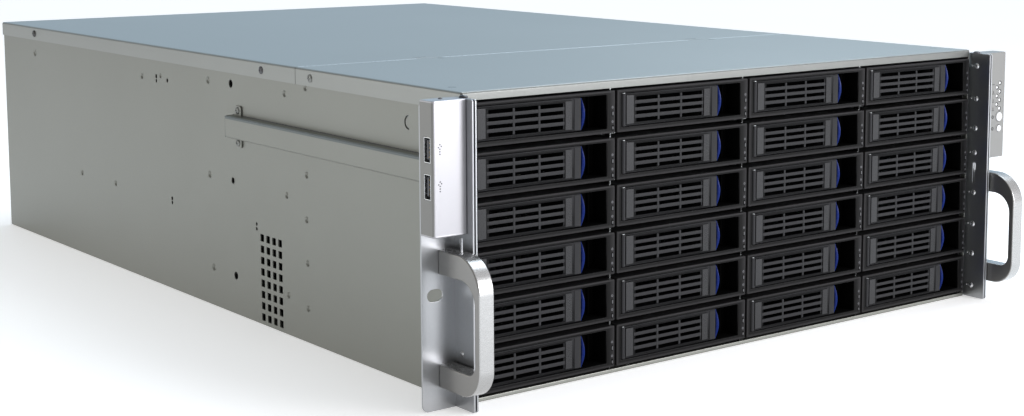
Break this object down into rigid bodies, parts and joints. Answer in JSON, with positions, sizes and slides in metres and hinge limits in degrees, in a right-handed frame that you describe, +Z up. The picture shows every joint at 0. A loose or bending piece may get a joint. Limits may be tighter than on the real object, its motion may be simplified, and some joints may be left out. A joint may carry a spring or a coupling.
{
  "type": "rack storage enclosure",
  "caption": "Rack-mount storage enclosure with hot-swap drive trays, sheet-steel body, sliding top cover, rack ears, pull handles and control modules on the ears.",
  "frame": {"origin": "middle of the footprint, on the surface the enclosure rests on", "axes": "+X to the right as seen from the drive bays, +Y from the drive bays to the rear, +Z up"},
  "size_m": [0.4826, 0.727, 0.1751],
  "materials": {
    "body_steel": "satin galvanised sheet",
    "cover_steel": "satin galvanised sheet",
    "cage_steel": "satin galvanised sheet",
    "ear_silver": "fine blasted and anodised",
    "handle_silver": "satin anodised",
    "module_silver": "satin silver paint",
    "tray_black": "fine moulded texture",
    "lever_black": "fine moulded texture",
    "button_white": "smooth",
    "fan_plastic": "moulded"
  },
  "bodies": {
    "enclosure": {"chassis_body": "body_steel", "front_cover": "cover_steel", "drive_cage": "cage_steel", "cooling_fans": "fan_plastic", "cover_plates": "body_steel", "rack_ears": "ear_silver", "pull_handles": "handle_silver", "usb_module": "module_silver", "control_module": "module_silver"},
    "rear_cover": {"rear_cover": "cover_steel"},
    "power_button": {"power_button": "button_white"},
    "reset_button": {"reset_button": "button_white"},
    "drive_tray_r1c1": {"drive_tray_r1c1": "tray_black"},
    "tray_lever_r1c1": {"tray_lever_r1c1": "lever_black"},
    "drive_tray_r2c1": {"drive_tray_r2c1": "tray_black"},
    "tray_lever_r2c1": {"tray_lever_r2c1": "lever_black"},
    "drive_tray_r3c1": {"drive_tray_r3c1": "tray_black"},
    "tray_lever_r3c1": {"tray_lever_r3c1": "lever_black"},
    "drive_tray_r4c1": {"drive_tray_r4c1": "tray_black"},
    "tray_lever_r4c1": {"tray_lever_r4c1": "lever_black"},
    "drive_tray_r5c1": {"drive_tray_r5c1": "tray_black"},
    "tray_lever_r5c1": {"tray_lever_r5c1": "lever_black"},
    "drive_tray_r6c1": {"drive_tray_r6c1": "tray_black"},
    "tray_lever_r6c1": {"tray_lever_r6c1": "lever_black"},
    "drive_tray_r1c2": {"drive_tray_r1c2": "tray_black"},
    "tray_lever_r1c2": {"tray_lever_r1c2": "lever_black"},
    "drive_tray_r2c2": {"drive_tray_r2c2": "tray_black"},
    "tray_lever_r2c2": {"tray_lever_r2c2": "lever_black"},
    "drive_tray_r3c2": {"drive_tray_r3c2": "tray_black"},
    "tray_lever_r3c2": {"tray_lever_r3c2": "lever_black"},
    "drive_tray_r4c2": {"drive_tray_r4c2": "tray_black"},
    "tray_lever_r4c2": {"tray_lever_r4c2": "lever_black"},
    "drive_tray_r5c2": {"drive_tray_r5c2": "tray_black"},
    "tray_lever_r5c2": {"tray_lever_r5c2": "lever_black"},
    "drive_tray_r6c2": {"drive_tray_r6c2": "tray_black"},
    "tray_lever_r6c2": {"tray_lever_r6c2": "lever_black"},
    "drive_tray_r1c3": {"drive_tray_r1c3": "tray_black"},
    "tray_lever_r1c3": {"tray_lever_r1c3": "lever_black"},
    "drive_tray_r2c3": {"drive_tray_r2c3": "tray_black"},
    "tray_lever_r2c3": {"tray_lever_r2c3": "lever_black"},
    "drive_tray_r3c3": {"drive_tray_r3c3": "tray_black"},
    "tray_lever_r3c3": {"tray_lever_r3c3": "lever_black"},
    "drive_tray_r4c3": {"drive_tray_r4c3": "tray_black"},
    "tray_lever_r4c3": {"tray_lever_r4c3": "lever_black"},
    "drive_tray_r5c3": {"drive_tray_r5c3": "tray_black"},
    "tray_lever_r5c3": {"tray_lever_r5c3": "lever_black"},
    "drive_tray_r6c3": {"drive_tray_r6c3": "tray_black"},
    "tray_lever_r6c3": {"tray_lever_r6c3": "lever_black"},
    "drive_tray_r1c4": {"drive_tray_r1c4": "tray_black"},
    "tray_lever_r1c4": {"tray_lever_r1c4": "lever_black"},
    "drive_tray_r2c4": {"drive_tray_r2c4": "tray_black"},
    "tray_lever_r2c4": {"tray_lever_r2c4": "lever_black"},
    "drive_tray_r3c4": {"drive_tray_r3c4": "tray_black"},
    "tray_lever_r3c4": {"tray_lever_r3c4": "lever_black"},
    "drive_tray_r4c4": {"drive_tray_r4c4": "tray_black"},
    "tray_lever_r4c4": {"tray_lever_r4c4": "lever_black"},
    "drive_tray_r5c4": {"drive_tray_r5c4": "tray_black"},
    "tray_lever_r5c4": {"tray_lever_r5c4": "lever_black"},
    "drive_tray_r6c4": {"drive_tray_r6c4": "tray_black"},
    "tray_lever_r6c4": {"tray_lever_r6c4": "lever_black"}
  },
  "joints": [
    {"name": "rear_cover_slide", "type": "slide", "parent": "enclosure", "child": "rear_cover", "axis": [0, 1, 0], "range_m": [0, 0.012]},
    {"name": "power_button_press", "type": "slide", "parent": "enclosure", "child": "power_button", "axis": [0, 1, 0], "range_m": [0, 0.001], "stiffness_N_per_m": 400, "springref_m": -0.001},
    {"name": "reset_button_press", "type": "slide", "parent": "enclosure", "child": "reset_button", "axis": [0, 1, 0], "range_m": [0, 0.001], "stiffness_N_per_m": 400, "springref_m": -0.001},
    {"name": "tray_r1c1_slide", "type": "slide", "parent": "enclosure", "child": "drive_tray_r1c1", "axis": [0, -1, 0], "range_m": [0, 0.18]},
    {"name": "lever_r1c1_hinge", "type": "hinge", "parent": "drive_tray_r1c1", "child": "tray_lever_r1c1", "pos_m": [-0.2071, -0.3265, 0.15635], "axis": [0, 0, -1], "range_deg": [0, 75]},
    {"name": "tray_r2c1_slide", "type": "slide", "parent": "enclosure", "child": "drive_tray_r2c1", "axis": [0, -1, 0], "range_m": [0, 0.18]},
    {"name": "lever_r2c1_hinge", "type": "hinge", "parent": "drive_tray_r2c1", "child": "tray_lever_r2c1", "pos_m": [-0.2071, -0.3265, 0.12841], "axis": [0, 0, -1], "range_deg": [0, 75]},
    {"name": "tray_r3c1_slide", "type": "slide", "parent": "enclosure", "child": "drive_tray_r3c1", "axis": [0, -1, 0], "range_m": [0, 0.18]},
    {"name": "lever_r3c1_hinge", "type": "hinge", "parent": "drive_tray_r3c1", "child": "tray_lever_r3c1", "pos_m": [-0.2071, -0.3265, 0.10047], "axis": [0, 0, -1], "range_deg": [0, 75]},
    {"name": "tray_r4c1_slide", "type": "slide", "parent": "enclosure", "child": "drive_tray_r4c1", "axis": [0, -1, 0], "range_m": [0, 0.18]},
    {"name": "lever_r4c1_hinge", "type": "hinge", "parent": "drive_tray_r4c1", "child": "tray_lever_r4c1", "pos_m": [-0.2071, -0.3265, 0.07253], "axis": [0, 0, -1], "range_deg": [0, 75]},
    {"name": "tray_r5c1_slide", "type": "slide", "parent": "enclosure", "child": "drive_tray_r5c1", "axis": [0, -1, 0], "range_m": [0, 0.18]},
    {"name": "lever_r5c1_hinge", "type": "hinge", "parent": "drive_tray_r5c1", "child": "tray_lever_r5c1", "pos_m": [-0.2071, -0.3265, 0.04459], "axis": [0, 0, -1], "range_deg": [0, 75]},
    {"name": "tray_r6c1_slide", "type": "slide", "parent": "enclosure", "child": "drive_tray_r6c1", "axis": [0, -1, 0], "range_m": [0, 0.18]},
    {"name": "lever_r6c1_hinge", "type": "hinge", "parent": "drive_tray_r6c1", "child": "tray_lever_r6c1", "pos_m": [-0.2071, -0.3265, 0.01665], "axis": [0, 0, -1], "range_deg": [0, 75]},
    {"name": "tray_r1c2_slide", "type": "slide", "parent": "enclosure", "child": "drive_tray_r1c2", "axis": [0, -1, 0], "range_m": [0, 0.18]},
    {"name": "lever_r1c2_hinge", "type": "hinge", "parent": "drive_tray_r1c2", "child": "tray_lever_r1c2", "pos_m": [-0.1003, -0.3265, 0.15635], "axis": [0, 0, -1], "range_deg": [0, 75]},
    {"name": "tray_r2c2_slide", "type": "slide", "parent": "enclosure", "child": "drive_tray_r2c2", "axis": [0, -1, 0], "range_m": [0, 0.18]},
    {"name": "lever_r2c2_hinge", "type": "hinge", "parent": "drive_tray_r2c2", "child": "tray_lever_r2c2", "pos_m": [-0.1003, -0.3265, 0.12841], "axis": [0, 0, -1], "range_deg": [0, 75]},
    {"name": "tray_r3c2_slide", "type": "slide", "parent": "enclosure", "child": "drive_tray_r3c2", "axis": [0, -1, 0], "range_m": [0, 0.18]},
    {"name": "lever_r3c2_hinge", "type": "hinge", "parent": "drive_tray_r3c2", "child": "tray_lever_r3c2", "pos_m": [-0.1003, -0.3265, 0.10047], "axis": [0, 0, -1], "range_deg": [0, 75]},
    {"name": "tray_r4c2_slide", "type": "slide", "parent": "enclosure", "child": "drive_tray_r4c2", "axis": [0, -1, 0], "range_m": [0, 0.18]},
    {"name": "lever_r4c2_hinge", "type": "hinge", "parent": "drive_tray_r4c2", "child": "tray_lever_r4c2", "pos_m": [-0.1003, -0.3265, 0.07253], "axis": [0, 0, -1], "range_deg": [0, 75]},
    {"name": "tray_r5c2_slide", "type": "slide", "parent": "enclosure", "child": "drive_tray_r5c2", "axis": [0, -1, 0], "range_m": [0, 0.18]},
    {"name": "lever_r5c2_hinge", "type": "hinge", "parent": "drive_tray_r5c2", "child": "tray_lever_r5c2", "pos_m": [-0.1003, -0.3265, 0.04459], "axis": [0, 0, -1], "range_deg": [0, 75]},
    {"name": "tray_r6c2_slide", "type": "slide", "parent": "enclosure", "child": "drive_tray_r6c2", "axis": [0, -1, 0], "range_m": [0, 0.18]},
    {"name": "lever_r6c2_hinge", "type": "hinge", "parent": "drive_tray_r6c2", "child": "tray_lever_r6c2", "pos_m": [-0.1003, -0.3265, 0.01665], "axis": [0, 0, -1], "range_deg": [0, 75]},
    {"name": "tray_r1c3_slide", "type": "slide", "parent": "enclosure", "child": "drive_tray_r1c3", "axis": [0, -1, 0], "range_m": [0, 0.18]},
    {"name": "lever_r1c3_hinge", "type": "hinge", "parent": "drive_tray_r1c3", "child": "tray_lever_r1c3", "pos_m": [0.0065, -0.3265, 0.15635], "axis": [0, 0, -1], "range_deg": [0, 75]},
    {"name": "tray_r2c3_slide", "type": "slide", "parent": "enclosure", "child": "drive_tray_r2c3", "axis": [0, -1, 0], "range_m": [0, 0.18]},
    {"name": "lever_r2c3_hinge", "type": "hinge", "parent": "drive_tray_r2c3", "child": "tray_lever_r2c3", "pos_m": [0.0065, -0.3265, 0.12841], "axis": [0, 0, -1], "range_deg": [0, 75]},
    {"name": "tray_r3c3_slide", "type": "slide", "parent": "enclosure", "child": "drive_tray_r3c3", "axis": [0, -1, 0], "range_m": [0, 0.18]},
    {"name": "lever_r3c3_hinge", "type": "hinge", "parent": "drive_tray_r3c3", "child": "tray_lever_r3c3", "pos_m": [0.0065, -0.3265, 0.10047], "axis": [0, 0, -1], "range_deg": [0, 75]},
    {"name": "tray_r4c3_slide", "type": "slide", "parent": "enclosure", "child": "drive_tray_r4c3", "axis": [0, -1, 0], "range_m": [0, 0.18]},
    {"name": "lever_r4c3_hinge", "type": "hinge", "parent": "drive_tray_r4c3", "child": "tray_lever_r4c3", "pos_m": [0.0065, -0.3265, 0.07253], "axis": [0, 0, -1], "range_deg": [0, 75]},
    {"name": "tray_r5c3_slide", "type": "slide", "parent": "enclosure", "child": "drive_tray_r5c3", "axis": [0, -1, 0], "range_m": [0, 0.18]},
    {"name": "lever_r5c3_hinge", "type": "hinge", "parent": "drive_tray_r5c3", "child": "tray_lever_r5c3", "pos_m": [0.0065, -0.3265, 0.04459], "axis": [0, 0, -1], "range_deg": [0, 75]},
    {"name": "tray_r6c3_slide", "type": "slide", "parent": "enclosure", "child": "drive_tray_r6c3", "axis": [0, -1, 0], "range_m": [0, 0.18]},
    {"name": "lever_r6c3_hinge", "type": "hinge", "parent": "drive_tray_r6c3", "child": "tray_lever_r6c3", "pos_m": [0.0065, -0.3265, 0.01665], "axis": [0, 0, -1], "range_deg": [0, 75]},
    {"name": "tray_r1c4_slide", "type": "slide", "parent": "enclosure", "child": "drive_tray_r1c4", "axis": [0, -1, 0], "range_m": [0, 0.18]},
    {"name": "lever_r1c4_hinge", "type": "hinge", "parent": "drive_tray_r1c4", "child": "tray_lever_r1c4", "pos_m": [0.1133, -0.3265, 0.15635], "axis": [0, 0, -1], "range_deg": [0, 75]},
    {"name": "tray_r2c4_slide", "type": "slide", "parent": "enclosure", "child": "drive_tray_r2c4", "axis": [0, -1, 0], "range_m": [0, 0.18]},
    {"name": "lever_r2c4_hinge", "type": "hinge", "parent": "drive_tray_r2c4", "child": "tray_lever_r2c4", "pos_m": [0.1133, -0.3265, 0.12841], "axis": [0, 0, -1], "range_deg": [0, 75]},
    {"name": "tray_r3c4_slide", "type": "slide", "parent": "enclosure", "child": "drive_tray_r3c4", "axis": [0, -1, 0], "range_m": [0, 0.18]},
    {"name": "lever_r3c4_hinge", "type": "hinge", "parent": "drive_tray_r3c4", "child": "tray_lever_r3c4", "pos_m": [0.1133, -0.3265, 0.10047], "axis": [0, 0, -1], "range_deg": [0, 75]},
    {"name": "tray_r4c4_slide", "type": "slide", "parent": "enclosure", "child": "drive_tray_r4c4", "axis": [0, -1, 0], "range_m": [0, 0.18]},
    {"name": "lever_r4c4_hinge", "type": "hinge", "parent": "drive_tray_r4c4", "child": "tray_lever_r4c4", "pos_m": [0.1133, -0.3265, 0.07253], "axis": [0, 0, -1], "range_deg": [0, 75]},
    {"name": "tray_r5c4_slide", "type": "slide", "parent": "enclosure", "child": "drive_tray_r5c4", "axis": [0, -1, 0], "range_m": [0, 0.18]},
    {"name": "lever_r5c4_hinge", "type": "hinge", "parent": "drive_tray_r5c4", "child": "tray_lever_r5c4", "pos_m": [0.1133, -0.3265, 0.04459], "axis": [0, 0, -1], "range_deg": [0, 75]},
    {"name": "tray_r6c4_slide", "type": "slide", "parent": "enclosure", "child": "drive_tray_r6c4", "axis": [0, -1, 0], "range_m": [0, 0.18]},
    {"name": "lever_r6c4_hinge", "type": "hinge", "parent": "drive_tray_r6c4", "child": "tray_lever_r6c4", "pos_m": [0.1133, -0.3265, 0.01665], "axis": [0, 0, -1], "range_deg": [0, 75]}
  ]
}
